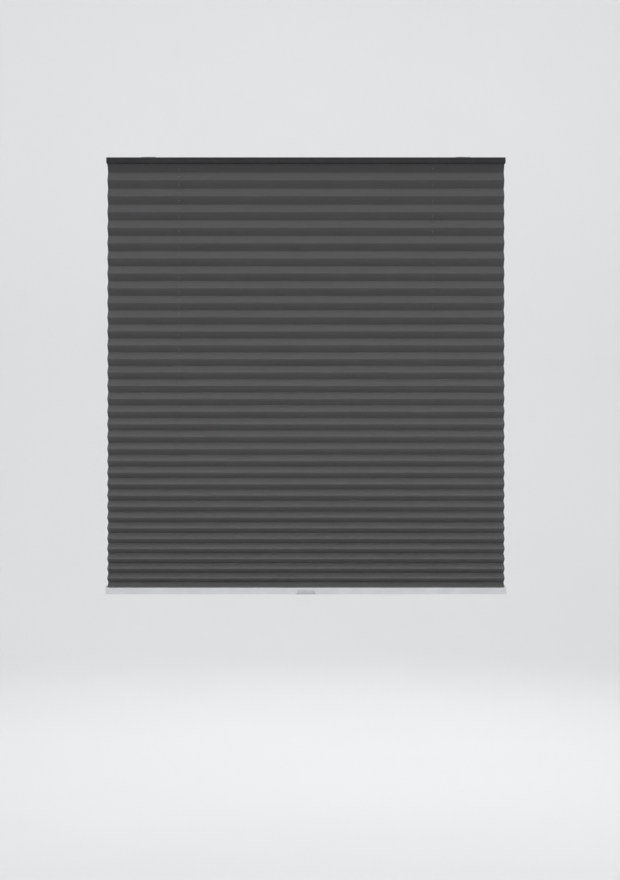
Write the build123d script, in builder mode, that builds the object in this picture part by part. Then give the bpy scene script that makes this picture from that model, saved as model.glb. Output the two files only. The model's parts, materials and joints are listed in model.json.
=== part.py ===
from build123d import *
import math
import os

os.makedirs("parts", exist_ok=True)

# A cordless pleated blind for a window's glazing recess, in millimetres, drawn part way down.
# Origin: the middle of the face that the clip brackets are screwed to. +Z is up, and the room
# is on the -Y side. The head rail hangs from two clip brackets. The pleated fabric hangs from
# the head rail and carries the bottom rail. Two lift cords run from the head rail down through
# the pleats, turn in guides and wind on the spools of a spring motor inside the bottom rail.

# Overall sizes
extrusion_length = 834.0      # both rails, without their end caps
rail_depth = 24.0             # front to back
head_rail_height = 12.0
bottom_rail_height = 13.0
fabric_drop = 890.4           # fabric seen between the two rails

# Rail sections
rail_wall = 1.0
rail_corner_radius = 0.8
clamp_mouth = 12.0            # slot that the fabric comes out of
bracket_groove_height = 3.6
bracket_mouth = 14.0          # slot that the clip brackets spring into
clamp_chamber_height = 2.2    # bottom rail's space for strip and fabric
rib_height = 0.6
rib_reach = 1.4

# Fabric
pleat_count = 33
pleat_face = 20.0             # from one fold to the next
pitch_spread = 0.27           # the top pitch is this share over the mean, the bottom one under
fabric_thickness = 0.4
fabric_tuck = 8.0             # how far past the middle the tucked end reaches

# Clamp strips
strip_width = 18.0
strip_thickness = 1.2
strip_end_gap = 1.0
clamp_gap = 0.05              # between strip, fabric and rail
mouth_gap = 0.2               # between fabric and the mouth's edge

# Clip brackets
bracket_x = 330.0
bracket_length = 30.0
bracket_plate = 1.2
bracket_leg = 0.8
bracket_hook = 2.3
bracket_hook_height = 0.8
bracket_gap = 0.3
bracket_screw_radius = 2.1

# Lift cords
cord_x = 267.0
cord_radius = 0.4
cord_gap = 0.2                # round a cord in cloth, strip, anchor and grommet
cord_bend_radius = 3.0
cord_channel_gap = 0.35       # round a cord in its guide
cord_floor_gap = 2.0          # from the rail's floor to the middle of the level run
knot_radius = 1.2
knot_gap = 0.05
anchor_stem_wall = 1.35
anchor_flange_radius = 3.5
anchor_flange = 1.0
anchor_tail = 1.5
anchor_gap = 0.05

# Grommets where the cords enter the bottom rail
grommet_flange_radius = 2.8
grommet_flange = 0.5
grommet_stem_wall = 0.55
grommet_gap = 0.05

# End caps
head_cap_thickness = 1.5
bottom_cap_thickness = 3.0
cap_plug_length = 8.0
cap_plug_gap = 0.15
cap_plug_wall = 1.2
bottom_cap_rise = 3.5         # raised corner over the rail's top
bottom_cap_gusset = 3.0
gusset_depth = 1.8

# Pull handle
handle_top_width = 32.5
handle_bottom_width = 42.0
handle_height = 9.3
handle_drop = 3.4             # from the rail's top to the handle's top
handle_top_thickness = 1.6
handle_lip_reach = 6.5
handle_lip_height = 1.5
handle_scoop_radius = 10.0
handle_edge_radius = 0.4
peg_spacing = 20.0
peg_radius = 1.4
peg_gap = 0.1
peg_barb_radius = 1.8
peg_barb_length = 0.8
peg_drop = 7.0                # from the rail's top to the pegs' axis

# Spring motor
motor_x = 90.0
motor_wall = 1.0
motor_plate = 0.7
motor_side_gap = 0.3
motor_top_gap = 0.1
gear_teeth = 21
gear_module = 0.8
gear_thickness = 2.5
gear_addendum = 0.6
gear_dedendum = 0.85
gear_backlash = 0.2
flank_angle = 20.0
gear_end_room = 1.0
drum_end_gap = 0.2
drum_flange = 0.5
axle_radius = 1.0
axle_running_gap = 0.05
axle_seat_gap = 0.02
spool_core_radius = 3.2
spool_flange_radius = 8.3
winding_radius = 5.2
winding_gap = 0.05
drum_flange_radius = 8.2
spring_drum_core = 5.0
storage_drum_core = 4.0
spring_gap = 0.3
spring_on_drum = 0.6          # thickness wound on the spring drum
spring_on_storage = 2.5       # thickness wound on the storage drum
spring_band = 0.25
storage_gear_gap = 0.3
screw_inset = 1.5             # from the tray's inner walls to the screws' axes
screw_boss_radius = 1.6
screw_radius = 0.6
screw_head_radius = 1.3
screw_head = 0.5
screw_length = 5.0
screw_gap = 0.02
cord_door_width = 3.0
cord_door_height = 2.4

# Cord guides
guide_length = 14.0
guide_offset = 5.0            # from the cord's axis to the guide's outer end

# Heights, from the mounting face down
head_top = -(bracket_plate + bracket_gap)
head_bottom = head_top - head_rail_height
web_top = head_top - rail_wall - bracket_groove_height
web_bottom = web_top - rail_wall
bottom_top = head_bottom - fabric_drop
bottom_bottom = bottom_top - bottom_rail_height
floor_top = bottom_bottom + rail_wall
clamp_floor = bottom_top - rail_wall - clamp_chamber_height
rib_bottom = clamp_floor - rib_height
cord_level = floor_top + cord_floor_gap

inner_depth = rail_depth - 2 * rail_wall
cord_bore_radius = cord_radius + cord_gap
anchor_stem_radius = cord_bore_radius + anchor_stem_wall
grommet_stem_radius = cord_bore_radius + grommet_stem_wall
mean_pitch = fabric_drop / pleat_count
cord_sides = (("left", -1), ("right", 1))

# The fabric's layers under and over each clamp strip
layer_offset = clamp_gap + fabric_thickness / 2
layer_step = 2 * layer_offset + strip_thickness
head_layer = head_bottom + rail_wall + layer_offset
bottom_layer = bottom_top - rail_wall - layer_offset
wrap_y = -(strip_width / 2 + layer_offset)
mouth_y = -(clamp_mouth / 2 - mouth_gap - fabric_thickness / 2)

# Motor levels and places
tray_floor_top = floor_top + motor_plate
cover_top = rib_bottom - motor_top_gap
cover_bottom = cover_top - motor_plate
drum_bottom = tray_floor_top + drum_end_gap
drum_top = cover_bottom - drum_end_gap
gear_bottom = drum_top - gear_thickness
flange_top = drum_bottom + drum_flange
gear_pitch_radius = gear_module * gear_teeth / 2
gear_tip_radius = gear_pitch_radius + gear_addendum
gear_spacing = 2 * gear_pitch_radius
spool_x = {"left": motor_x - 1.5 * gear_spacing, "right": motor_x + 1.5 * gear_spacing}
spring_drum_x = motor_x - 0.5 * gear_spacing
storage_x = motor_x + 0.5 * gear_spacing
axle_places = [spool_x["left"], spring_drum_x, storage_x, spool_x["right"]]
tray_depth = inner_depth - 2 * motor_side_gap
tray_inner_depth = tray_depth - 2 * motor_wall
tray_inner_length = 3 * gear_spacing + 2 * (gear_tip_radius + gear_end_room)
tray_length = tray_inner_length + 2 * motor_wall
screw_x = tray_inner_length / 2 - screw_inset
screw_y = tray_inner_depth / 2 - screw_inset
cord_wind_y = -(winding_radius + winding_gap + cord_radius)
axle_hole_radius = axle_radius + axle_seat_gap
axle_bore_radius = axle_radius + axle_running_gap


def pitch(index):
    """Height of one pleat: the weight below opens the upper pleats more."""
    return mean_pitch * (1 + pitch_spread * (1 - 2 * index / (pleat_count - 1)))


def half_depth(height):
    """Half the front-to-back depth of a pleat that is this high."""
    rise = min(height / 2, pleat_face)
    return math.sqrt(pleat_face**2 - rise**2) / 2


def fabric_path():
    """The fabric's middle line from its upper tucked end to its lower one, as (y, z)."""
    points = [(fabric_tuck, head_layer + layer_step), (wrap_y, head_layer + layer_step)]
    points += [(wrap_y, head_layer), (mouth_y, head_layer), (mouth_y, head_bottom)]
    level = head_bottom
    for index in range(pleat_count):
        height = pitch(index)
        points.append((half_depth(height), level - height / 2))
        level -= height
        if index < pleat_count - 1:
            points.append((-half_depth((height + pitch(index + 1)) / 2), level))
    points += [(mouth_y, bottom_top), (mouth_y, bottom_layer), (wrap_y, bottom_layer)]
    points += [(wrap_y, bottom_layer - layer_step), (fabric_tuck, bottom_layer - layer_step)]
    return points


def band_outline(path, thickness):
    """The closed outline of a band of even thickness along a path, with mitred corners."""
    path = [Vector(point) for point in path]
    steps = [b - a for a, b in zip(path, path[1:])]
    normals = [Vector(-step.Y, step.X).normalized() for step in steps]
    before = [normals[0]] + normals
    after = normals + [normals[-1]]
    near, far = [], []
    for point, a, b in zip(path, before, after):
        mitre = (a + b) * (thickness / 2 / (1 + a.dot(b)))
        near.append(point + mitre)
        far.append(point - mitre)
    return near + far[::-1]


def gear_profile():
    """A straight-flanked spur gear in the open sketch, with a tooth pointing along +X."""
    slope = math.tan(math.radians(flank_angle))
    half_pitch_width = (math.pi * gear_module / 2 - gear_backlash) / 2
    half_tip = half_pitch_width - gear_addendum * slope
    half_root = half_pitch_width + gear_dedendum * slope
    root_radius = gear_pitch_radius - gear_dedendum
    foot = math.sqrt(root_radius**2 - half_root**2)
    Circle(root_radius)
    with PolarLocations(0, gear_teeth):
        Polygon(
            (foot, -half_root),
            (gear_tip_radius, -half_tip),
            (gear_tip_radius, half_tip),
            (foot, half_root),
            align=None,
        )


def cord_route(side, sign):
    """The corners of a lift cord's route, from its knot to its spool."""
    knot_level = web_top + anchor_flange + knot_gap + knot_radius
    return [
        (sign * cord_x, 0, knot_level),
        (sign * cord_x, 0, cord_level),
        (spool_x[side], cord_wind_y, cord_level),
    ]


# ---------------------------------------------------------------- head rail and its fittings

with BuildPart() as head_rail:
    with BuildSketch(Plane.YZ.offset(-extrusion_length / 2)):
        with Locations((0, (head_top + head_bottom) / 2)):
            RectangleRounded(rail_depth, head_rail_height, rail_corner_radius)
        with Locations((0, (head_top - rail_wall + web_top) / 2)):
            Rectangle(inner_depth, bracket_groove_height, mode=Mode.SUBTRACT)
        with Locations((0, head_top - rail_wall / 2)):
            Rectangle(bracket_mouth, rail_wall, mode=Mode.SUBTRACT)
        with Locations((0, (web_bottom + head_bottom + rail_wall) / 2)):
            Rectangle(inner_depth, web_bottom - head_bottom - rail_wall, mode=Mode.SUBTRACT)
        with Locations((0, head_bottom + rail_wall / 2)):
            Rectangle(clamp_mouth, rail_wall, mode=Mode.SUBTRACT)
    extrude(amount=extrusion_length)
    # Holes in the web for the cord anchors
    with BuildSketch(Plane.XY.offset(web_bottom)):
        with Locations((-cord_x, 0), (cord_x, 0)):
            Circle(anchor_stem_radius + anchor_gap)
    extrude(amount=rail_wall, mode=Mode.SUBTRACT)
head_rail.part.label = "head_rail"
export_step(head_rail.part, "parts/head_rail.step")

with BuildPart() as head_clamp_strip:
    with BuildSketch(Plane.XY.offset(head_layer + layer_offset)):
        Rectangle(extrusion_length - 2 * strip_end_gap, strip_width)
        with Locations((-cord_x, 0), (cord_x, 0)):
            Circle(cord_bore_radius, mode=Mode.SUBTRACT)
    extrude(amount=strip_thickness)
head_clamp_strip.part.label = "head_clamp_strip"
export_step(head_clamp_strip.part, "parts/head_clamp_strip.step")

for side, sign in cord_sides:
    with BuildPart() as head_cap:
        with BuildSketch(Plane.YZ.offset(sign * extrusion_length / 2)):
            with Locations((0, (head_top + head_bottom) / 2)):
                RectangleRounded(rail_depth, head_rail_height, rail_corner_radius)
        extrude(amount=sign * head_cap_thickness)
        outer_face = head_cap.faces().filter_by(Axis.X).sort_by(Axis.X)[-1 if sign > 0 else 0]
        fillet(outer_face.edges(), rail_corner_radius / 2)
        # Plug that presses into the space over the clamped fabric
        plug_bottom = head_layer + layer_step + fabric_thickness / 2 + cap_plug_gap
        plug_top = web_bottom - cap_plug_gap
        with BuildSketch(Plane.YZ.offset(sign * extrusion_length / 2)):
            with Locations((0, (plug_bottom + plug_top) / 2)):
                Rectangle(inner_depth - 2 * cap_plug_gap, plug_top - plug_bottom)
                Rectangle(
                    inner_depth - 2 * cap_plug_gap - 2 * cap_plug_wall,
                    plug_top - plug_bottom,
                    mode=Mode.SUBTRACT,
                )
        extrude(amount=-sign * cap_plug_length)
    head_cap.part.label = f"head_cap_{side}"
    export_step(head_cap.part, f"parts/head_cap_{side}.step")

for side, sign in cord_sides:
    with BuildPart() as clip_bracket:
        with BuildSketch(Plane.YZ.offset(sign * bracket_x - bracket_length / 2)):
            with Locations((0, -bracket_plate / 2)):
                Rectangle(inner_depth, bracket_plate)
            hook_top = head_top - rail_wall - bracket_gap
            leg_outer = bracket_mouth / 2 - bracket_gap
            leg_length = -bracket_plate - (hook_top - bracket_hook_height)
            for facing in (-1, 1):
                with Locations((facing * (leg_outer - bracket_leg / 2), -bracket_plate - leg_length / 2)):
                    Rectangle(bracket_leg, leg_length)
                with Locations((facing * (leg_outer + bracket_hook / 2), hook_top - bracket_hook_height / 2)):
                    Rectangle(bracket_hook, bracket_hook_height)
        extrude(amount=bracket_length)
        with Locations((sign * bracket_x, 0, 0)):
            Hole(bracket_screw_radius, depth=bracket_plate)
    clip_bracket.part.label = f"clip_bracket_{side}"
    export_step(clip_bracket.part, f"parts/clip_bracket_{side}.step")

for side, sign in cord_sides:
    with BuildPart() as cord_anchor:
        with BuildSketch(Plane.XY.offset(web_top)):
            with Locations((sign * cord_x, 0)):
                Circle(anchor_flange_radius)
        extrude(amount=anchor_flange)
        with BuildSketch(Plane.XY.offset(web_top)):
            with Locations((sign * cord_x, 0)):
                Circle(anchor_stem_radius)
        extrude(amount=-(rail_wall + anchor_tail))
        with BuildSketch(Plane.XY.offset(web_bottom - anchor_tail)):
            with Locations((sign * cord_x, 0)):
                Circle(cord_bore_radius)
        extrude(amount=anchor_tail + rail_wall + anchor_flange, mode=Mode.SUBTRACT)
    cord_anchor.part.label = f"cord_anchor_{side}"
    export_step(cord_anchor.part, f"parts/cord_anchor_{side}.step")

# ---------------------------------------------------------------- fabric and lift cords

with BuildPart() as pleated_fabric:
    with BuildSketch(Plane.YZ.offset(-extrusion_length / 2)):
        with BuildLine():
            Polyline(*band_outline(fabric_path(), fabric_thickness), close=True)
        make_face()
    extrude(amount=extrusion_length)
    # Punched holes that the lift cords run through
    with BuildSketch(Plane.XY.offset(bottom_bottom)):
        with Locations((-cord_x, 0), (cord_x, 0)):
            Circle(cord_bore_radius)
    extrude(amount=-bottom_bottom, mode=Mode.SUBTRACT)
    # Wider ones in the lower tucked end, round the grommets
    with BuildSketch(Plane.XY.offset(clamp_floor)):
        with Locations((-cord_x, 0), (cord_x, 0)):
            Circle(grommet_stem_radius + grommet_gap)
    extrude(amount=bottom_top - clamp_floor, mode=Mode.SUBTRACT)
pleated_fabric.part.label = "pleated_fabric"
export_step(pleated_fabric.part, "parts/pleated_fabric.step")

for side, sign in cord_sides:
    route = cord_route(side, sign)
    with BuildPart() as lift_cord:
        with BuildLine() as cord_line:
            FilletPolyline(*route, radius=cord_bend_radius)
        with BuildSketch(Plane(origin=route[0], z_dir=(0, 0, -1))):
            Circle(cord_radius)
        sweep(path=cord_line.wires()[0])
        with Locations(route[0]):
            Sphere(knot_radius)
    lift_cord.part.label = f"lift_cord_{side}"
    export_step(lift_cord.part, f"parts/lift_cord_{side}.step")

# ---------------------------------------------------------------- bottom rail and its fittings

with BuildPart() as bottom_rail:
    with BuildSketch(Plane.YZ.offset(-extrusion_length / 2)):
        with Locations((0, (bottom_top + bottom_bottom) / 2)):
            RectangleRounded(rail_depth, bottom_rail_height, rail_corner_radius)
        with Locations((0, (bottom_top - rail_wall + floor_top) / 2)):
            Rectangle(inner_depth, bottom_rail_height - 2 * rail_wall, mode=Mode.SUBTRACT)
        with Locations((0, bottom_top - rail_wall / 2)):
            Rectangle(clamp_mouth, rail_wall, mode=Mode.SUBTRACT)
        # Ribs that part the clamped fabric from the space for the motor
        rib_y = (inner_depth - rib_reach) / 2
        with Locations((-rib_y, clamp_floor - rib_height / 2), (rib_y, clamp_floor - rib_height / 2)):
            Rectangle(rib_reach, rib_height)
    extrude(amount=extrusion_length)
    # Holes in the front wall for the handle's pegs
    with BuildSketch(Plane.XZ.offset(inner_depth / 2)):
        with Locations((-peg_spacing / 2, bottom_top - peg_drop), (peg_spacing / 2, bottom_top - peg_drop)):
            Circle(peg_radius + peg_gap)
    extrude(amount=rail_wall, mode=Mode.SUBTRACT)
bottom_rail.part.label = "bottom_rail"
export_step(bottom_rail.part, "parts/bottom_rail.step")

with BuildPart() as bottom_clamp_strip:
    with BuildSketch(Plane.XY.offset(bottom_layer - layer_offset - strip_thickness)):
        Rectangle(extrusion_length - 2 * strip_end_gap, strip_width)
        with Locations((-cord_x, 0), (cord_x, 0)):
            Circle(grommet_stem_radius + grommet_gap, mode=Mode.SUBTRACT)
    extrude(amount=strip_thickness)
bottom_clamp_strip.part.label = "bottom_clamp_strip"
export_step(bottom_clamp_strip.part, "parts/bottom_clamp_strip.step")

for side, sign in cord_sides:
    with BuildPart() as cord_grommet:
        flange_seat = bottom_layer + fabric_thickness / 2 + grommet_gap
        with BuildSketch(Plane.XY.offset(flange_seat)):
            with Locations((sign * cord_x, 0)):
                Circle(grommet_flange_radius)
        extrude(amount=grommet_flange)
        with BuildSketch(Plane.XY.offset(flange_seat)):
            with Locations((sign * cord_x, 0)):
                Circle(grommet_stem_radius)
        extrude(amount=clamp_floor - flange_seat)
        with BuildSketch(Plane.XY.offset(clamp_floor)):
            with Locations((sign * cord_x, 0)):
                Circle(cord_bore_radius)
        extrude(amount=flange_seat + grommet_flange - clamp_floor, mode=Mode.SUBTRACT)
    cord_grommet.part.label = f"cord_grommet_{side}"
    export_step(cord_grommet.part, f"parts/cord_grommet_{side}.step")

for side, sign in cord_sides:
    rail_end = sign * extrusion_length / 2
    with BuildPart() as bottom_cap:
        with BuildSketch(Plane.YZ.offset(rail_end)):
            with Locations((0, (bottom_top + bottom_cap_rise + bottom_bottom) / 2)):
                RectangleRounded(
                    rail_depth, bottom_rail_height + bottom_cap_rise, rail_corner_radius
                )
        extrude(amount=sign * bottom_cap_thickness)
        outer_face = bottom_cap.faces().filter_by(Axis.X).sort_by(Axis.X)[-1 if sign > 0 else 0]
        fillet(outer_face.edges(), rail_corner_radius)
        # Sloped corner that stands on the rail's front lip
        with BuildSketch(Plane.XZ.offset(rail_depth / 2)):
            with BuildLine():
                Polyline(
                    (rail_end, bottom_top),
                    (rail_end - sign * bottom_cap_gusset, bottom_top),
                    (rail_end, bottom_top + bottom_cap_rise - rail_corner_radius),
                    close=True,
                )
            make_face()
        extrude(amount=-gusset_depth)
        # Hollow plug that presses into the space under the ribs
        plug_bottom = floor_top + cap_plug_gap
        plug_top = rib_bottom - cap_plug_gap
        with BuildSketch(Plane.YZ.offset(rail_end)):
            with Locations((0, (plug_bottom + plug_top) / 2)):
                Rectangle(inner_depth - 2 * cap_plug_gap, plug_top - plug_bottom)
                Rectangle(
                    inner_depth - 2 * cap_plug_gap - 2 * cap_plug_wall,
                    plug_top - plug_bottom - 2 * cap_plug_wall,
                    mode=Mode.SUBTRACT,
                )
        extrude(amount=-sign * cap_plug_length)
    bottom_cap.part.label = f"bottom_cap_{side}"
    export_step(bottom_cap.part, f"parts/bottom_cap_{side}.step")

with BuildPart() as pull_handle:
    handle_top = bottom_top - handle_drop
    handle_bottom = handle_top - handle_height
    front = -rail_depth / 2
    lip_front = front - handle_lip_reach
    with BuildSketch(Plane.YZ.offset(-handle_bottom_width / 2)):
        with BuildLine():
            Polyline(
                (lip_front, handle_bottom + handle_lip_height),
                (lip_front, handle_bottom),
                (front, handle_bottom),
                (front, handle_top),
                (front - handle_top_thickness, handle_top),
            )
            RadiusArc(
                (front - handle_top_thickness, handle_top),
                (lip_front, handle_bottom + handle_lip_height),
                handle_scoop_radius,
            )
        make_face()
    extrude(amount=handle_bottom_width)
    # Sides that spread towards the lip
    with BuildSketch(Plane.XZ.offset(-front)):
        with BuildLine():
            Polyline(
                (-handle_bottom_width / 2, handle_bottom),
                (handle_bottom_width / 2, handle_bottom),
                (handle_top_width / 2, handle_top),
                (-handle_top_width / 2, handle_top),
                close=True,
            )
        make_face()
    extrude(amount=handle_lip_reach, mode=Mode.INTERSECT)
    fillet(pull_handle.faces().sort_by(Axis.Y)[0].edges(), handle_edge_radius)
    # Snap pegs through the rail's front wall
    with BuildSketch(Plane.XZ.offset(-front)):
        with Locations((-peg_spacing / 2, bottom_top - peg_drop), (peg_spacing / 2, bottom_top - peg_drop)):
            Circle(peg_radius)
    extrude(amount=-(rail_wall + peg_gap + peg_barb_length))
    with BuildSketch(Plane.XZ.offset(inner_depth / 2 - peg_gap)):
        with Locations((-peg_spacing / 2, bottom_top - peg_drop), (peg_spacing / 2, bottom_top - peg_drop)):
            Circle(peg_barb_radius)
    extrude(amount=-peg_barb_length, taper=flank_angle)
pull_handle.part.label = "pull_handle"
export_step(pull_handle.part, "parts/pull_handle.step")

for side, sign in cord_sides:
    with BuildPart() as cord_guide:
        guide_middle = sign * (cord_x + guide_offset - guide_length / 2)
        with BuildSketch(Plane.XY.offset(floor_top)):
            with Locations((guide_middle, 0)):
                RectangleRounded(guide_length, tray_depth, rail_corner_radius)
        extrude(amount=cover_top - floor_top)
        # Channel that turns the cord from its drop to its level run
        with BuildLine() as channel_line:
            FilletPolyline(
                (sign * cord_x, 0, rib_bottom),
                (sign * cord_x, 0, cord_level),
                (sign * (cord_x - guide_length), 0, cord_level),
                radius=cord_bend_radius,
            )
        with BuildSketch(Plane(origin=(sign * cord_x, 0, rib_bottom), z_dir=(0, 0, -1))):
            Circle(cord_radius + cord_channel_gap)
        sweep(path=channel_line.wires()[0], mode=Mode.SUBTRACT)
    cord_guide.part.label = f"cord_guide_{side}"
    export_step(cord_guide.part, f"parts/cord_guide_{side}.step")

# ---------------------------------------------------------------- spring motor

with BuildPart() as motor_tray:
    with BuildSketch(Plane.XY.offset(floor_top)):
        with Locations((motor_x, 0)):
            RectangleRounded(tray_length, tray_depth, rail_corner_radius)
    extrude(amount=cover_bottom - floor_top)
    with BuildSketch(Plane.XY.offset(tray_floor_top)):
        with Locations((motor_x, 0)):
            Rectangle(tray_inner_length, tray_inner_depth)
    extrude(amount=cover_bottom - tray_floor_top, mode=Mode.SUBTRACT)
    # Corner bosses for the cover's screws
    with BuildSketch(Plane.XY.offset(tray_floor_top)):
        with Locations((motor_x, 0)):
            with GridLocations(2 * screw_x, 2 * screw_y, 2, 2):
                Circle(screw_boss_radius)
    extrude(amount=cover_bottom - tray_floor_top)
    with BuildSketch(Plane.XY.offset(cover_bottom)):
        with Locations((motor_x, 0)):
            with GridLocations(2 * screw_x, 2 * screw_y, 2, 2):
                Circle(screw_radius + screw_gap)
    extrude(amount=motor_plate - screw_length - screw_gap, mode=Mode.SUBTRACT)
    # Seats of the drums' axles
    with BuildSketch(Plane.XY.offset(floor_top)):
        with Locations(*[(x, 0) for x in axle_places]):
            Circle(axle_hole_radius)
    extrude(amount=motor_plate, mode=Mode.SUBTRACT)
    # Doors in the end walls for the lift cords
    with BuildSketch(Plane.YZ.offset(motor_x - tray_length / 2)):
        with Locations((cord_wind_y, cord_level)):
            Rectangle(cord_door_width, cord_door_height)
    extrude(amount=tray_length, mode=Mode.SUBTRACT)
motor_tray.part.label = "motor_tray"
export_step(motor_tray.part, "parts/motor_tray.step")

with BuildPart() as motor_cover:
    with BuildSketch(Plane.XY.offset(cover_bottom)):
        with Locations((motor_x, 0)):
            RectangleRounded(tray_length, tray_depth, rail_corner_radius)
            with GridLocations(2 * screw_x, 2 * screw_y, 2, 2):
                Circle(screw_radius + screw_gap, mode=Mode.SUBTRACT)
        with Locations(*[(x, 0) for x in axle_places]):
            Circle(axle_hole_radius, mode=Mode.SUBTRACT)
    extrude(amount=motor_plate)
motor_cover.part.label = "motor_cover"
export_step(motor_cover.part, "parts/motor_cover.step")

with BuildPart() as cover_screws:
    with BuildSketch(Plane.XY.offset(cover_top)):
        with Locations((motor_x, 0)):
            with GridLocations(2 * screw_x, 2 * screw_y, 2, 2):
                Circle(screw_head_radius)
    extrude(amount=screw_head)
    with BuildSketch(Plane.XY.offset(cover_top)):
        with Locations((motor_x, 0)):
            with GridLocations(2 * screw_x, 2 * screw_y, 2, 2):
                Circle(screw_radius)
    extrude(amount=-screw_length)
cover_screws.part.label = "cover_screws"
export_step(cover_screws.part, "parts/cover_screws.step")

with BuildPart() as motor_axles:
    with BuildSketch(Plane.XY.offset(floor_top)):
        with Locations(*[(x, 0) for x in axle_places]):
            Circle(axle_radius)
    extrude(amount=cover_top - floor_top)
motor_axles.part.label = "motor_axles"
export_step(motor_axles.part, "parts/motor_axles.step")

for side, sign in cord_sides:
    with BuildPart() as cord_spool:
        with BuildSketch(Plane.XY.offset(drum_bottom)):
            with Locations((spool_x[side], 0)):
                Circle(spool_flange_radius)
        extrude(amount=drum_flange)
        with BuildSketch(Plane.XY.offset(flange_top)):
            with Locations((spool_x[side], 0)):
                Circle(spool_core_radius)
        extrude(amount=gear_bottom - flange_top)
        with BuildSketch(Plane((spool_x[side], 0, gear_bottom))):
            gear_profile()
        extrude(amount=gear_thickness)
        with BuildSketch(Plane.XY.offset(drum_bottom)):
            with Locations((spool_x[side], 0)):
                Circle(axle_bore_radius)
        extrude(amount=drum_top - drum_bottom, mode=Mode.SUBTRACT)
    cord_spool.part.label = f"cord_spool_{side}"
    export_step(cord_spool.part, f"parts/cord_spool_{side}.step")

    with BuildPart() as cord_winding:
        with BuildSketch(Plane.XY.offset(flange_top)):
            with Locations((spool_x[side], 0)):
                Circle(winding_radius)
                Circle(spool_core_radius, mode=Mode.SUBTRACT)
        extrude(amount=gear_bottom - flange_top)
    cord_winding.part.label = f"cord_winding_{side}"
    export_step(cord_winding.part, f"parts/cord_winding_{side}.step")

with BuildPart() as spring_drum:
    with BuildSketch(Plane.XY.offset(drum_bottom)):
        with Locations((spring_drum_x, 0)):
            Circle(drum_flange_radius)
    extrude(amount=drum_flange)
    with BuildSketch(Plane.XY.offset(flange_top)):
        with Locations((spring_drum_x, 0)):
            Circle(spring_drum_core)
    extrude(amount=gear_bottom - flange_top)
    with BuildSketch(Plane((spring_drum_x, 0, gear_bottom))):
        gear_profile()
    extrude(amount=gear_thickness)
    with BuildSketch(Plane.XY.offset(drum_bottom)):
        with Locations((spring_drum_x, 0)):
            Circle(axle_bore_radius)
    extrude(amount=drum_top - drum_bottom, mode=Mode.SUBTRACT)
spring_drum.part.label = "spring_drum"
export_step(spring_drum.part, "parts/spring_drum.step")

with BuildPart() as storage_drum:
    with BuildSketch(Plane.XY.offset(drum_bottom)):
        with Locations((storage_x, 0)):
            Circle(drum_flange_radius)
    extrude(amount=drum_flange)
    with BuildSketch(Plane.XY.offset(flange_top)):
        with Locations((storage_x, 0)):
            Circle(storage_drum_core)
    extrude(amount=gear_bottom - storage_gear_gap - flange_top)
    with BuildSketch(Plane.XY.offset(drum_bottom)):
        with Locations((storage_x, 0)):
            Circle(axle_bore_radius)
    extrude(amount=gear_bottom - drum_bottom, mode=Mode.SUBTRACT)
storage_drum.part.label = "storage_drum"
export_step(storage_drum.part, "parts/storage_drum.step")

with BuildPart() as idler_gear:
    with BuildSketch(Plane((storage_x, 0, gear_bottom))):
        gear_profile()
        Circle(axle_bore_radius, mode=Mode.SUBTRACT)
    extrude(amount=gear_thickness)
idler_gear.part.label = "idler_gear"
export_step(idler_gear.part, "parts/idler_gear.step")

with BuildPart() as lift_spring:
    drum_inner = spring_drum_core + spring_gap
    storage_inner = storage_drum_core + spring_gap
    drum_reach = drum_inner + spring_on_drum - spring_band / 2
    storage_reach = storage_inner + spring_on_storage - spring_band / 2
    # The band leaves one coil and joins the other on opposite sides, as the letter S
    lean = math.asin((drum_reach + storage_reach) / gear_spacing)
    across = Vector(math.sin(lean), math.cos(lean))
    drum_point = Vector(spring_drum_x, 0) + across * drum_reach
    storage_point = Vector(storage_x, 0) - across * storage_reach
    with BuildSketch(Plane.XY.offset(flange_top + spring_gap)):
        with BuildLine():
            Polyline(*band_outline([drum_point, storage_point], spring_band), close=True)
        make_face()
        with Locations((spring_drum_x, 0)):
            Circle(drum_inner + spring_on_drum)
        with Locations((storage_x, 0)):
            Circle(storage_inner + spring_on_storage)
        with Locations((spring_drum_x, 0)):
            Circle(drum_inner, mode=Mode.SUBTRACT)
        with Locations((storage_x, 0)):
            Circle(storage_inner, mode=Mode.SUBTRACT)
    extrude(amount=gear_bottom - flange_top - 2 * spring_gap)
lift_spring.part.label = "lift_spring"
export_step(lift_spring.part, "parts/lift_spring.step")
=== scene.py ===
import json
import math
import random

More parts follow.
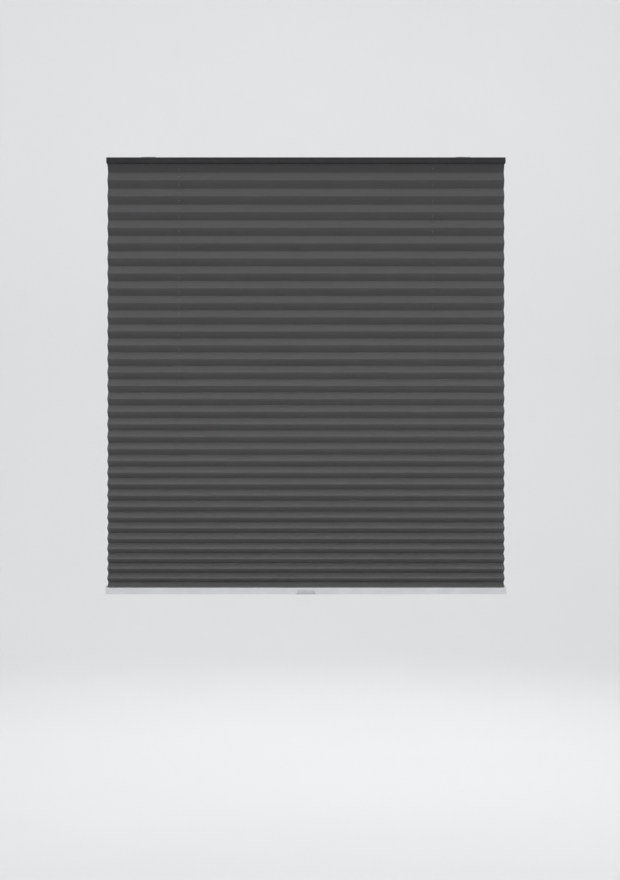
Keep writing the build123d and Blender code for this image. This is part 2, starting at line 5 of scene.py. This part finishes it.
import bpy
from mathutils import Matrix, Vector


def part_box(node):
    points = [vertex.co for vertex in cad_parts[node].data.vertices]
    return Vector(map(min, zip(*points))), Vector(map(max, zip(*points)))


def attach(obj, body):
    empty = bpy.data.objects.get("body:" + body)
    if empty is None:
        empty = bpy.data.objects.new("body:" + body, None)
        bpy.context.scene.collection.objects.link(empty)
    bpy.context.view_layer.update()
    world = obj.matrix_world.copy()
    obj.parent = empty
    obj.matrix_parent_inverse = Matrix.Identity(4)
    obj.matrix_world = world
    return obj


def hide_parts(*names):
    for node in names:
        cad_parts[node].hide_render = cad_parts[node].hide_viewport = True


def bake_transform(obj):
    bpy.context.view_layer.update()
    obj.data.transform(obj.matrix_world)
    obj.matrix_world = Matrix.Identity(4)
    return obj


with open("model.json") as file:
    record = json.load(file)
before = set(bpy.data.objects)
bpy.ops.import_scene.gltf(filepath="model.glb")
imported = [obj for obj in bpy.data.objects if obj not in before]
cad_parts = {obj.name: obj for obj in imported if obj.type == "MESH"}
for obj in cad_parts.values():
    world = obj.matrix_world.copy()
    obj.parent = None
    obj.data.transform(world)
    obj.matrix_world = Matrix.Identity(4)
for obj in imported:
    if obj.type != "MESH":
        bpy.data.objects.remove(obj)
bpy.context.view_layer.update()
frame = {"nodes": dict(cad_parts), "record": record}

# The looks of a cordless pleated blind, in metres, in the CAD model's own frame: the origin is
# the middle of the face that the clip brackets are screwed to, +Z is up, the room is on -Y.

MM = 0.001

# ---------------------------------------------------------------- camera

EYE = Vector((0.0, -2.9, -0.5673))
VIEW_MIDDLE = Vector((0.0086, 0.0, -0.5941))   # the point of the blind's plane in the picture's middle
LENS = 56.38                                   # in mm, like the sensor
SENSOR = 36.0                                  # along the picture's long side
LOOK_LEVEL = (math.radians(90), 0, 0)          # along +Y

camera_data = bpy.data.cameras.new("camera")
camera_data.sensor_width = SENSOR
camera_data.lens = LENS
seen_length = (VIEW_MIDDLE.y - EYE.y) * SENSOR / LENS
camera_data.shift_x = (VIEW_MIDDLE.x - EYE.x) / seen_length
camera_data.shift_y = (VIEW_MIDDLE.z - EYE.z) / seen_length
camera = bpy.data.objects.new("camera", camera_data)
camera.location = EYE
camera.rotation_euler = LOOK_LEVEL
bpy.context.scene.collection.objects.link(camera)
bpy.context.scene.camera = camera
bpy.context.scene.view_settings.view_transform = "Standard"

# ---------------------------------------------------------------- places read from the frame

head_rail_low, head_rail_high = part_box("head_rail")
bottom_rail_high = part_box("bottom_rail")[1]
head_strip_low, head_strip_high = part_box("head_clamp_strip")
bottom_strip_low, bottom_strip_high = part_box("bottom_clamp_strip")
head_bottom = head_rail_low.z
bottom_top = bottom_rail_high.z


# ---------------------------------------------------------------- material tools

NOISE_RUN = (0.3, 0.7)         # nearly all of a noise's values lie between these
CLOUD_RUN = (0.35, 0.65)       # a shorter run, which gives clouds clearer patches
SMOOTH, MEDIUM, FINE = 2.0, 3.0, 4.0    # how detailed a noise is
EDGE_SAMPLES = 4
EDGE_FULL = 0.86               # an edge counts fully once its rounded and flat normals agree this little


class Shader:
    """A Principled material whose node tree is put together call by call."""

    def __init__(self, name):
        self.material = bpy.data.materials.new(name)
        self.material.use_nodes = True
        self.tree = self.material.node_tree
        self.principled = self.tree.nodes["Principled BSDF"]

    def node(self, kind, inputs=(), **settings):
        made = self.tree.nodes.new("ShaderNode" + kind)
        for key, value in settings.items():
            setattr(made, key, value)
        for key, value in dict(inputs).items():
            self.feed(made.inputs[key], value)
        return made

    def feed(self, socket, value):
        if isinstance(value, bpy.types.NodeSocket):
            self.tree.links.new(value, socket)
        else:
            socket.default_value = value

    def put(self, **values):
        """Sets or links the Principled shader's own sockets."""
        for key, value in values.items():
            self.feed(self.principled.inputs[key.replace("_", " ")], value)

    def places(self):
        """Where a point of the piece is, in metres, moving with the piece."""
        return self.node("TexCoord").outputs["Object"]

    def math(self, operation, a, b=0.0):
        return self.node("Math", {0: a, 1: b}, operation=operation).outputs[0]

    def noise(self, where, scale, detail, stretch=(1, 1, 1)):
        mapped = self.node("Mapping", {"Vector": where, "Scale": stretch}).outputs[0]
        return self.node(
            "TexNoise", {"Vector": mapped, "Scale": scale, "Detail": detail}
        ).outputs["Fac"]

    def spread(self, value, low, high, start=0.0, end=1.0):
        """value, which runs from start to end, made to run from low to high."""
        keys = {"Value": value, "From Min": start, "From Max": end, "To Min": low, "To Max": high}
        return self.node("MapRange", keys).outputs[0]

    def from_noise(self, noise, low, high):
        return self.spread(noise, low, high, *NOISE_RUN)

    def patches(self, clouds, first, second):
        """Patches of two colours, as the clouds lie."""
        return self.mix(self.spread(clouds, 0.0, 1.0, *CLOUD_RUN), first, second)

    def mix(self, share, first, second):
        made = self.node("Mix", data_type="RGBA")
        self.feed(made.inputs[0], share)
        self.feed(made.inputs[6], first)
        self.feed(made.inputs[7], second)
        return made.outputs[2]

    def bump(self, height, depth, under=None):
        keys = {"Height": height, "Strength": 1.0, "Distance": depth}
        if under is not None:
            keys["Normal"] = under
        return self.node("Bump", keys).outputs[0]

    def edges(self, radius):
        """1 on edges that are sharper than radius, 0 on flat faces."""
        rounded = self.node("Bevel", {"Radius": radius}, samples=EDGE_SAMPLES).outputs[0]
        flat = self.node("NewGeometry").outputs["Normal"]
        alike = self.node("VectorMath", {0: rounded, 1: flat}, operation="DOT_PRODUCT")
        return self.spread(alike.outputs["Value"], 1.0, 0.0, EDGE_FULL, 1.0)


def grey(value, tint=(1.0, 1.0, 1.0)):
    return (value * tint[0], value * tint[1], value * tint[2], 1.0)


# Pattern scales are roughly in features a metre
COATED_CLOUDS = 38.0
COATED_ROUGHNESS_SWING = 0.07
RUBBED = (0.2, 0.9)            # how bare an edge is rubbed, from cloud to cloud
COAT_ROUGHNESS = 0.3


def coated(name, colour, other, worn, roughness, grain, depth, edge_radius, specular=0.5, coat=0.0):
    """Paint, powder coat or moulded plastic: a fine grain, faint clouds and rubbed edges."""
    shader = Shader(name)
    where = shader.places()
    clouds = shader.noise(where, COATED_CLOUDS, SMOOTH)
    speck = shader.noise(where, grain, FINE)
    body = shader.patches(clouds, colour, other)
    rubbed = shader.math("MULTIPLY", shader.edges(edge_radius), shader.spread(clouds, *RUBBED))
    swing = COATED_ROUGHNESS_SWING
    shader.put(
        Base_Color=shader.mix(rubbed, body, worn),
        Roughness=shader.from_noise(speck, roughness - swing, roughness + swing),
        Specular_IOR_Level=specular,
        Coat_Weight=coat,
        Coat_Roughness=COAT_ROUGHNESS,
        Normal=shader.bump(speck, depth),
    )
    return shader.material


METAL_LINES = 900.0
METAL_CLOUDS = 60.0
METAL_ROUGHNESS_SWING = 0.1
METAL_LINE_DEPTH = 0.02 * MM


def rolled_metal(name, colour, other, roughness, stretch):
    """Bare metal with fine lines along one way, from rolling or turning."""
    shader = Shader(name)
    where = shader.places()
    lines = shader.noise(where, METAL_LINES, MEDIUM, stretch)
    clouds = shader.noise(where, METAL_CLOUDS, SMOOTH)
    swing = METAL_ROUGHNESS_SWING
    shader.put(
        Base_Color=shader.patches(clouds, colour, other),
        Metallic=1.0,
        Roughness=shader.from_noise(lines, roughness - swing, roughness + swing),
        Normal=shader.bump(lines, METAL_LINE_DEPTH),
    )
    return shader.material


SLUBS = 160.0
SLUB_STRETCH = (0.22, 3.0, 1.0)
SLUB_DEPTH = 0.03 * MM
THREAD_DEPTH = 0.05 * MM
NAP = 1500.0
CLOTH_CLOUDS = 22.0
CLOTH_CLOUD_STRETCH = (0.6, 1.6, 1.0)
# How far each pattern takes the cloth from its dark colour towards its light one
SLUB_SHADE = (0.34, 0.66)
CROSSING_SHADE = (-0.10, 0.10)
CLOUD_SHADE = (-0.08, 0.08)
NAP_SHADE = (-0.12, 0.12)
CLOTH_ROUGHNESS = (0.78, 0.94)
CLOTH_SPECULAR = 0.25
CLOTH_SHEEN_ROUGHNESS = 0.45


def woven(name, dark, light, thread, sheen):
    """Plain weave, laid out by the sheet's own flat place, which each point carries in metres."""
    shader = Shader(name)
    flat = shader.node("Attribute", attribute_name="flat_place").outputs["Vector"]
    parts = shader.node("SeparateXYZ", {0: flat}).outputs
    turn = 2 * math.pi / thread
    warp = shader.math("SINE", shader.math("MULTIPLY", parts[0], turn))
    weft = shader.math("SINE", shader.math("MULTIPLY", parts[1], turn))
    crossing = shader.math("MULTIPLY", warp, weft)
    slubs = shader.noise(flat, SLUBS, MEDIUM, SLUB_STRETCH)
    nap = shader.noise(flat, NAP, FINE)
    clouds = shader.noise(flat, CLOTH_CLOUDS, MEDIUM, CLOTH_CLOUD_STRETCH)
    shade = shader.math("ADD", shader.spread(crossing, *CROSSING_SHADE, -1.0, 1.0),
                        shader.from_noise(slubs, *SLUB_SHADE))
    shade = shader.math("ADD", shade, shader.from_noise(clouds, *CLOUD_SHADE))
    shade = shader.math("ADD", shade, shader.from_noise(nap, *NAP_SHADE))
    threads = shader.bump(crossing, THREAD_DEPTH)
    shader.put(
        Base_Color=shader.mix(shade, dark, light),
        Roughness=shader.from_noise(nap, *CLOTH_ROUGHNESS),
        Specular_IOR_Level=CLOTH_SPECULAR,
        Sheen_Weight=sheen,
        Sheen_Roughness=CLOTH_SHEEN_ROUGHNESS,
        Normal=shader.bump(slubs, SLUB_DEPTH, threads),
    )
    return shader.material


STRANDS = 4                    # round the cord, each way
STRAND_DEPTH = 0.04 * MM
FUZZ = 2500.0
CORD_ROUGHNESS = (0.62, 0.82)
CORD_SHEEN = 0.15


def braided(name, dark, light, lay, diameter):
    """A braided cord: strands that run round it both ways."""
    shader = Shader(name)
    flat = shader.node("Attribute", attribute_name="flat_place").outputs["Vector"]
    parts = shader.node("SeparateXYZ", {0: flat}).outputs
    round_turn = 2 * math.pi / (math.pi * diameter / STRANDS)
    along_turn = 2 * math.pi / lay
    around = shader.math("MULTIPLY", parts[0], round_turn)
    along = shader.math("MULTIPLY", parts[1], along_turn)
    one = shader.math("SINE", shader.math("ADD", around, along))
    other = shader.math("SINE", shader.math("SUBTRACT", around, along))
    strands = shader.math("MAXIMUM", one, other)
    fuzz = shader.noise(flat, FUZZ, MEDIUM)
    shader.put(
        Base_Color=shader.mix(shader.spread(strands, 0.0, 1.0, -1.0, 1.0), dark, light),
        Roughness=shader.from_noise(fuzz, *CORD_ROUGHNESS),
        Sheen_Weight=CORD_SHEEN,
        Normal=shader.bump(strands, STRAND_DEPTH),
    )
    return shader.material


# ---------------------------------------------------------------- materials by record slot

BLUISH = (0.97, 0.985, 1.02)
WARM = (1.0, 0.99, 0.96)
IVORY = (1.0, 0.985, 0.93)
CORD_DIAMETER = 0.8 * MM

finishes = {
    "pleat_cloth": woven("pleat_cloth", grey(0.066), grey(0.088), thread=0.42 * MM, sheen=0.10),
    "cord": braided("cord", grey(0.025), grey(0.075), lay=1.6 * MM, diameter=CORD_DIAMETER),
    "dark_rail": coated(
        "dark_rail", grey(0.020, BLUISH), grey(0.024, BLUISH), worn=grey(0.09),
        roughness=0.6, grain=2600.0, depth=0.02 * MM, edge_radius=0.5 * MM, specular=0.2
    ),
    "dark_cap": coated(
        "dark_cap", grey(0.015, BLUISH), grey(0.019, BLUISH), worn=grey(0.06),
        roughness=0.6, grain=1900.0, depth=0.03 * MM, edge_radius=0.5 * MM, specular=0.2
    ),
    "bracket_steel": rolled_metal(
        "bracket_steel", grey(0.42, BLUISH), grey(0.50, BLUISH),
        roughness=0.52, stretch=(1.0, 4.0, 4.0)
    ),
    "white_rail": coated(
        "white_rail", grey(0.44, BLUISH), grey(0.47, BLUISH), worn=grey(0.54),
        roughness=0.38, grain=2600.0, depth=0.015 * MM, edge_radius=0.5 * MM, coat=0.15
    ),
    "white_cap": coated(
        "white_cap", grey(0.44, BLUISH), grey(0.48, BLUISH), worn=grey(0.56),
        roughness=0.45, grain=1900.0, depth=0.02 * MM, edge_radius=0.5 * MM
    ),
    "handle_plastic": coated(
        "handle_plastic", grey(0.295, BLUISH), grey(0.325, BLUISH), worn=grey(0.38),
        roughness=0.42, grain=1700.0, depth=0.03 * MM, edge_radius=0.5 * MM
    ),
    "strip_plastic": coated(
        "strip_plastic", grey(0.30), grey(0.34), worn=grey(0.40),
        roughness=0.55, grain=1500.0, depth=0.03 * MM, edge_radius=0.3 * MM
    ),
    "clear_plastic": coated(
        "clear_plastic", grey(0.055), grey(0.07), worn=grey(0.10),
        roughness=0.25, grain=1200.0, depth=0.01 * MM, edge_radius=0.2 * MM
    ),
    "motor_plastic": coated(
        "motor_plastic", grey(0.50, WARM), grey(0.54, WARM), worn=grey(0.62),
        roughness=0.5, grain=1500.0, depth=0.03 * MM, edge_radius=0.3 * MM
    ),
    "gear_plastic": coated(
        "gear_plastic", grey(0.66, IVORY), grey(0.70, IVORY), worn=grey(0.76),
        roughness=0.42, grain=1500.0, depth=0.02 * MM, edge_radius=0.2 * MM
    ),
    "screw_steel": rolled_metal(
        "screw_steel", grey(0.56), grey(0.64), roughness=0.32, stretch=(1.0, 1.0, 4.0)
    ),
    "spring_steel": rolled_metal(
        "spring_steel", grey(0.50, BLUISH), grey(0.58, BLUISH),
        roughness=0.28, stretch=(1.0, 1.0, 9.0)
    ),
}

for subpart in frame["record"]["subparts"]:
    cad_object = frame["nodes"][subpart["node"]]
    cad_object.data.materials.clear()
    cad_object.data.materials.append(finishes[subpart["material_slot"]])


# ---------------------------------------------------------------- mesh tools

def new_piece(name, points, faces, finish, flat_places):
    """A mesh piece in its slot's finish. flat_places says where each point is on the flat sheet."""
    mesh = bpy.data.meshes.new(name)
    mesh.from_pydata([tuple(point) for point in points], [], faces)
    mesh.materials.append(finishes[finish])
    attribute = mesh.attributes.new("flat_place", "FLOAT_VECTOR", "POINT")
    attribute.data.foreach_set("vector", [value for place in flat_places for value in place])
    mesh.polygons.foreach_set("use_smooth", [True] * len(mesh.polygons))
    piece = bpy.data.objects.new(name, mesh)
    bpy.context.scene.collection.objects.link(piece)
    return piece


def with_modifiers_applied(piece, sharp_degrees):
    """Makes the mesh that the modifiers give the piece's own, with its sharper edges marked."""
    graph = bpy.context.evaluated_depsgraph_get()
    made = bpy.data.meshes.new_from_object(
        piece.evaluated_get(graph), preserve_all_data_layers=True, depsgraph=graph
    )
    piece.modifiers.clear()
    piece.data = made
    made.set_sharp_from_angle(angle=math.radians(sharp_degrees))
    return piece


def hang_between_rails(piece):
    """Bakes the piece's placement into its own mesh points, leaving it where it is."""
    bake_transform(piece)


# ---------------------------------------------------------------- pleated fabric

PLEATS = 33
PLEAT_FACE = 20 * MM
PITCH_SPREAD = 0.27            # the top pleat is this share taller than the mean, the last one lower
CLOTH_THICKNESS = 0.4 * MM
CLAMP_GAP = 0.05 * MM          # between the cloth and the clamp strip it wraps round
MOUTH_Y = -5.6 * MM            # where the fabric passes the rails' slots
TUCK_Y = 8.0 * MM              # where its tucked ends stop
FOLD_CUT = 1.0 * MM            # how far from a fold the cloth starts to turn
HOLE_ROW = 2                   # the row of a face, counted from 0, that its hole's square starts at
FACE_BOW = 0.22 * MM           # how far a pleat's face bows between its folds
FOLD_SHARP = 28                # degrees: the folds stay sharp, the bowed faces smooth
FOLD_WAVER = 0.04 * MM         # how far a fold strays from straight
WAVER_SEED = 11
WAVE_LENGTHS = (0.14, 0.7)     # the shortest and the longest
WAVE_SHARES = (0.5, 0.3, 0.2)  # how much of the waver each wave makes
HOLE_X = 267 * MM              # from the middle of the blind to each lift cord
HOLE_RADIUS = 0.6 * MM         # as seen from above
HOLE_CELL = 3.0 * MM           # half the square of cloth that holds a hole
HOLE_SIDES = 16
COLUMNS = 60                   # of mesh, evenly across the cloth
cloth_left = head_rail_low.x
cloth_right = head_rail_high.x
mean_pitch = (head_bottom - bottom_top) / PLEATS


def pitch(index):
    return mean_pitch * (1 + PITCH_SPREAD * (1 - 2 * index / (PLEATS - 1)))


def half_depth(height):
    return math.sqrt(PLEAT_FACE**2 - min(height / 2, PLEAT_FACE) ** 2) / 2


def fold_corners():
    """The fabric's line between the rails, one corner a fold, as (y, z)."""
    corners = [(MOUTH_Y, head_bottom)]
    level = head_bottom
    for index in range(PLEATS):
        height = pitch(index)
        corners.append((half_depth(height), level - height / 2))
        level -= height
        if index < PLEATS - 1:
            corners.append((-half_depth((height + pitch(index + 1)) / 2), level))
    corners.append((MOUTH_Y, bottom_top))
    return [Vector(corner) for corner in corners]


def tuck_corners(strip_low, strip_high, turned):
    """The fabric round a clamp strip, from the mouth to the tucked end, as (y, z)."""
    offset = CLAMP_GAP + CLOTH_THICKNESS / 2
    near = strip_low.z - offset if turned > 0 else strip_high.z + offset
    far = strip_high.z + offset if turned > 0 else strip_low.z - offset
    wrap = strip_low.y - offset
    return [Vector(c) for c in ((MOUTH_Y, near), (wrap, near), (wrap, far), (TUCK_Y, far))]


class Row:
    """One line of mesh points across the fabric's width."""

    def __init__(self, place, fold, lean, cell=False):
        self.place = place      # (y, z)
        self.fold = fold        # number of the fold before it, counted from the top rail
        self.lean = lean        # how far it is from that fold to the next, from 0 to 1
        self.cell = cell        # a hole's square starts at this row and ends at the next one


def cloth_rows():
    folds = fold_corners()
    rows = []
    for index, (start, end) in enumerate(zip(folds, folds[1:])):
        along = end - start
        length = along.length
        along = along / length
        bow = Vector((-along.y, along.x)) * FACE_BOW * (1 if index % 2 else -1)
        middle = -start.x / along.x     # how far along the face the cords pass, at y = 0
        reach_before = FOLD_CUT if index else 0.0
        reach_after = FOLD_CUT if index < len(folds) - 2 else 0.0
        inner = [reach_before, (reach_before + middle - HOLE_CELL) / 2, middle - HOLE_CELL]
        inner += [middle + HOLE_CELL, (middle + HOLE_CELL + length - reach_after) / 2]
        inner += [length - reach_after]
        for number, distance in enumerate(inner):
            lean = distance / length
            place = start + along * distance + bow * math.sin(math.pi * lean)
            rows.append(Row(place, index, lean, cell=number == HOLE_ROW))
        if index < len(folds) - 2:
            onward = (folds[index + 2] - end).normalized()
            # The rounded fold's crest lies inside the sharp corner
            crest = end + (onward - along) * FOLD_CUT / 4
            rows.append(Row(crest, index, 1.0))
    head_end = [Row(c, 0, 0.0) for c in reversed(tuck_corners(head_strip_low, head_strip_high, 1))]
    foot = tuck_corners(bottom_strip_low, bottom_strip_high, -1)
    return head_end + rows + [Row(c, len(folds) - 1, 0.0) for c in foot]


def cloth_columns():
    """The x of each column, with a hole's square between two of them at each cord."""
    even = [cloth_left + (cloth_right - cloth_left) * i / COLUMNS for i in range(COLUMNS + 1)]
    kept = [x for x in even if abs(abs(x) - HOLE_X) > 2 * HOLE_CELL]
    holes = [sign * HOLE_X + side for sign in (-1, 1) for side in (-HOLE_CELL, HOLE_CELL)]
    return sorted(kept + holes)


def waver(draw):
    """A smooth function of x with small random waves."""
    waves = [(draw.uniform(*WAVE_LENGTHS), draw.uniform(0, 2 * math.pi), share)
             for share in WAVE_SHARES]

    def stray(x):
        return FOLD_WAVER * sum(share * math.sin(2 * math.pi * x / length + phase)
                                for length, phase, share in waves)

    return stray


def make_fabric():
    rows, columns = cloth_rows(), cloth_columns()
    draw = random.Random(WAVER_SEED)
    fold_count = 2 * PLEATS + 1
    strays = [(waver(draw), waver(draw)) for fold in range(fold_count)]
    still = {0, fold_count - 1}     # the cloth doesn't stray where it enters the rails
    hole_columns = {i for i, x in enumerate(columns)
                    if any(abs(x + HOLE_CELL - sign * HOLE_X) < MM / 10 for sign in (-1, 1))}

    def stray_at(fold, part, x):
        return 0.0 if fold in still else strays[fold][part](x)

    points, flat_places, faces = [], [], []
    run = 0.0
    for number, row in enumerate(rows):
        if number:
            run += (row.place - rows[number - 1].place).length
        after = min(row.fold + 1, fold_count - 1)
        for x in columns:
            off = [
                stray_at(row.fold, part, x) * (1 - row.lean) + stray_at(after, part, x) * row.lean
                for part in (0, 1)
            ]
            points.append(Vector((x, row.place.x + off[0], row.place.y + off[1])))
            flat_places.append((x, run, 0.0))

    width = len(columns)
    for number, row in enumerate(rows[:-1]):
        for i in range(width - 1):
            corners = [number * width + i, number * width + i + 1,
                       (number + 1) * width + i + 1, (number + 1) * width + i]
            if row.cell and i in hole_columns:
                faces += punched_cell(corners, points, flat_places)
            else:
                faces.append(corners)

    piece = new_piece("fabric", points, faces, "pleat_cloth", flat_places)
    solid = piece.modifiers.new("thickness", "SOLIDIFY")
    solid.thickness = CLOTH_THICKNESS
    solid.offset = 0
    return with_modifiers_applied(piece, FOLD_SHARP)


def punched_cell(corners, points, flat_places):
    """Faces that fill a square of cloth round a punched hole. Adds the hole's own points."""
    square = [points[c] for c in corners]
    flat_square = [Vector(flat_places[c]) for c in corners]
    middle = sum(square, Vector()) / 4
    flat_middle = sum(flat_square, Vector()) / 4
    across = (square[1] - square[0]).normalized()
    down = (square[3] - square[0]).normalized()
    stretch = 1 / abs(down.y)       # makes the slanted hole round as seen from above
    first = len(points)
    for side in range(HOLE_SIDES):
        angle = 2 * math.pi * side / HOLE_SIDES
        right, low = HOLE_RADIUS * math.cos(angle), HOLE_RADIUS * stretch * math.sin(angle)
        points.append(middle + across * right + down * low)
        flat_places.append(tuple(flat_middle + Vector((right, low, 0))))
    quarter = HOLE_SIDES // 4
    faces = []
    # The corners stand at 225, 315, 45 and 135 degrees, with a quarter of the hole facing each
    for number, corner in enumerate(corners):
        start = (number + 2) * quarter
        for step in range(quarter):
            one = first + (start + step) % HOLE_SIDES
            two = first + (start + step + 1) % HOLE_SIDES
            faces.append([corner, two, one])
        shared = first + (start + quarter) % HOLE_SIDES
        faces.append([corner, corners[(number + 1) % 4], shared])
    return faces


fabric = make_fabric()
hang_between_rails(fabric)
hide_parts("pleated_fabric")


# ---------------------------------------------------------------- lift cords

CORD_RADIUS = CORD_DIAMETER / 2
CORD_SIDES = 10
BEND_RADIUS = 3.0 * MM         # where the cord turns in the rail, towards its spool
BEND_STEPS = 8
KNOT_RADIUS = 1.2 * MM
SPOOL_CORE = 3.2 * MM          # the radius that the innermost layer lies on
WOUND_GAP = 0.05 * MM          # from the wound cord to the stretch that runs in
WOUND_LAYERS = 3
WOUND_TURNS = 10
TURN_STEPS = 24                # in one turn of the wound cord


def tube(name, path, finish):
    """A round cord along a list of points, with a place along and around it at each point."""
    points, flat_places, faces = [], [], []
    run = 0.0
    side = None
    for number, here in enumerate(path):
        before = path[max(number - 1, 0)]
        after = path[min(number + 1, len(path) - 1)]
        along = (after - before).normalized()
        run += (here - before).length
        if side is None:
            side = along.orthogonal().normalized()
        side = (side - along * side.dot(along)).normalized()
        other = along.cross(side)
        for k in range(CORD_SIDES):
            angle = 2 * math.pi * k / CORD_SIDES
            points.append(here + (side * math.cos(angle) + other * math.sin(angle)) * CORD_RADIUS)
            flat_places.append((angle * CORD_RADIUS, run, 0.0))
    for ring in range(len(path) - 1):
        for k in range(CORD_SIDES):
            near, far = ring * CORD_SIDES, (ring + 1) * CORD_SIDES
            onward = (k + 1) % CORD_SIDES
            faces.append([near + k, near + onward, far + onward, far + k])
    faces.append(list(range(CORD_SIDES))[::-1])
    last = (len(path) - 1) * CORD_SIDES
    faces.append([last + k for k in range(CORD_SIDES)])
    return new_piece(name, points, faces, finish, flat_places)


def wound_turns(middle, outer_radius, low, high, turning):
    """The line of a cord wound on its spool, in layers from the outside in."""
    path = []
    count = WOUND_TURNS * TURN_STEPS
    layer_step = (outer_radius - SPOOL_CORE - 2 * CORD_RADIUS) / (WOUND_LAYERS - 1)
    for step in range(count):
        layer, share = divmod(step * WOUND_LAYERS / count, 1)
        radius = outer_radius - CORD_RADIUS - layer * layer_step
        rise = 1 - share if layer % 2 else share
        angle = turning * 2 * math.pi * step / TURN_STEPS - math.pi / 2
        path.append(Vector((middle.x + radius * math.cos(angle), middle.y + radius * math.sin(angle),
                            low + CORD_RADIUS + rise * (high - low - 2 * CORD_RADIUS))))
    return path


for side_name, sign in (("left", -1), ("right", 1)):
    cord_low, cord_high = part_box(f"lift_cord_{side_name}")
    wound_low, wound_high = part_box(f"cord_winding_{side_name}")
    wound_middle = (wound_low + wound_high) / 2
    wound_radius = (wound_high.x - wound_low.x) / 2
    knot_middle = Vector((sign * HOLE_X, 0, cord_high.z - KNOT_RADIUS))
    level = cord_low.z + CORD_RADIUS
    corner = Vector((sign * HOLE_X, 0, level))
    spool_end = Vector((wound_middle.x, -(wound_radius + WOUND_GAP + CORD_RADIUS), level))
    onward = (spool_end - corner).normalized()
    centre = corner + Vector((0, 0, BEND_RADIUS)) + onward * BEND_RADIUS
    bend = []
    for step in range(BEND_STEPS + 1):
        angle = math.pi / 2 * step / BEND_STEPS
        bend.append(centre - onward * BEND_RADIUS * math.cos(angle)
                    - Vector((0, 0, BEND_RADIUS)) * math.sin(angle))
    levels = (knot_middle.z, head_bottom, bottom_top)
    straight = [Vector((knot_middle.x, 0, z)) for z in levels]
    cord = tube(f"cord_{side_name}", straight + bend + [spool_end], "cord")
    hang_between_rails(cord)
    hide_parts(f"lift_cord_{side_name}")
    turns = wound_turns(wound_middle, wound_radius, wound_low.z, wound_high.z, -sign)
    winding = tube(f"winding_{side_name}", turns, "cord")
    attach(winding, f"{side_name}_spool")
    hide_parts(f"cord_winding_{side_name}")

# ---------------------------------------------------------------- stage and light

FLOOR = -1.9
STAGE_RADIUS = 5.0
STAGE_CURVE = 2.0              # the radius that the floor turns up with
STAGE_CURVE_STEPS = 12
STAGE_WALL = 3.5               # the height above the curve
STAGE_SIDES = 96
STAGE_CLOUDS = 1.5
WORLD_COLOUR = (0.94, 0.96, 1.0, 1.0)
WORLD_STRENGTH = 0.63


def make_stage():
    """A pale floor that curves up into a round wall, so that it is the same from every side."""
    profile = [(0.0, FLOOR), (STAGE_RADIUS, FLOOR)]
    for step in range(1, STAGE_CURVE_STEPS + 1):
        angle = math.pi / 2 * step / STAGE_CURVE_STEPS
        profile.append((STAGE_RADIUS + STAGE_CURVE * math.sin(angle),
                        FLOOR + STAGE_CURVE * (1 - math.cos(angle))))
    profile.append((STAGE_RADIUS + STAGE_CURVE, FLOOR + STAGE_CURVE + STAGE_WALL))
    points = [Vector((0, 0, FLOOR))]
    for radius, height in profile[1:]:
        for k in range(STAGE_SIDES):
            angle = 2 * math.pi * k / STAGE_SIDES
            points.append(Vector((radius * math.cos(angle), radius * math.sin(angle), height)))
    faces = [[0, 1 + k, 1 + (k + 1) % STAGE_SIDES] for k in range(STAGE_SIDES)]
    for ring in range(len(profile) - 2):
        for k in range(STAGE_SIDES):
            near, far = 1 + ring * STAGE_SIDES, 1 + (ring + 1) * STAGE_SIDES
            onward = (k + 1) % STAGE_SIDES
            faces.append([near + k, far + k, far + onward, near + onward])
    mesh = bpy.data.meshes.new("stage")
    mesh.from_pydata([tuple(point) for point in points], [], faces)
    mesh.polygons.foreach_set("use_smooth", [True] * len(mesh.polygons))
    shader = Shader("stage")
    soft = shader.noise(shader.places(), STAGE_CLOUDS, SMOOTH)
    shader.put(
        Base_Color=shader.mix(soft, grey(0.76), grey(0.78)),
        Roughness=0.9,
        Specular_IOR_Level=0.1,
    )
    mesh.materials.append(shader.material)
    stage = bpy.data.objects.new("stage", mesh)
    bpy.context.scene.collection.objects.link(stage)
    return stage


def soft_box(name, place, aim, width, height, watts, spread=180):
    """A rectangular light that the camera doesn't see. spread is the angle of its beam."""
    light = bpy.data.lights.new(name, "AREA")
    light.shape = "RECTANGLE"
    light.size = width
    light.size_y = height
    light.energy = watts
    light.spread = math.radians(spread)
    lamp = bpy.data.objects.new(name, light)
    lamp.location = place
    lamp.rotation_euler = (Vector(aim) - Vector(place)).to_track_quat("-Z", "Y").to_euler()
    lamp.visible_camera = False
    bpy.context.scene.collection.objects.link(lamp)


make_stage()
soft_box("front", (0, -4.4, 1.8), aim=(0, 0, -0.5), width=4.0, height=2.0, watts=38)
soft_box("near_strip", (0, -0.5, 0.5), aim=(0, 0, -0.1), width=2.6, height=0.3, watts=2.6)
soft_box("far_strip", (0, -1.6, 1.4), aim=(0, 0, -0.4), width=2.6, height=0.6, watts=12)
soft_box("low_strip", (0, -1.6, -0.3), aim=(0, 0, -0.88), width=2.6, height=0.3, watts=5.4, spread=70)
soft_box("back", (0.8, 3.2, 1.8), aim=(0, 0, -0.5), width=2.4, height=2.4, watts=34)
soft_box("wall_wash", (0, 1.8, 2.6), aim=(0, 6.5, 0.2), width=4.0, height=1.0, watts=118)

world = bpy.data.worlds.new("world")
world.use_nodes = True
background = world.node_tree.nodes["Background"].inputs
background["Color"].default_value = WORLD_COLOUR
background["Strength"].default_value = WORLD_STRENGTH
bpy.context.scene.world = world
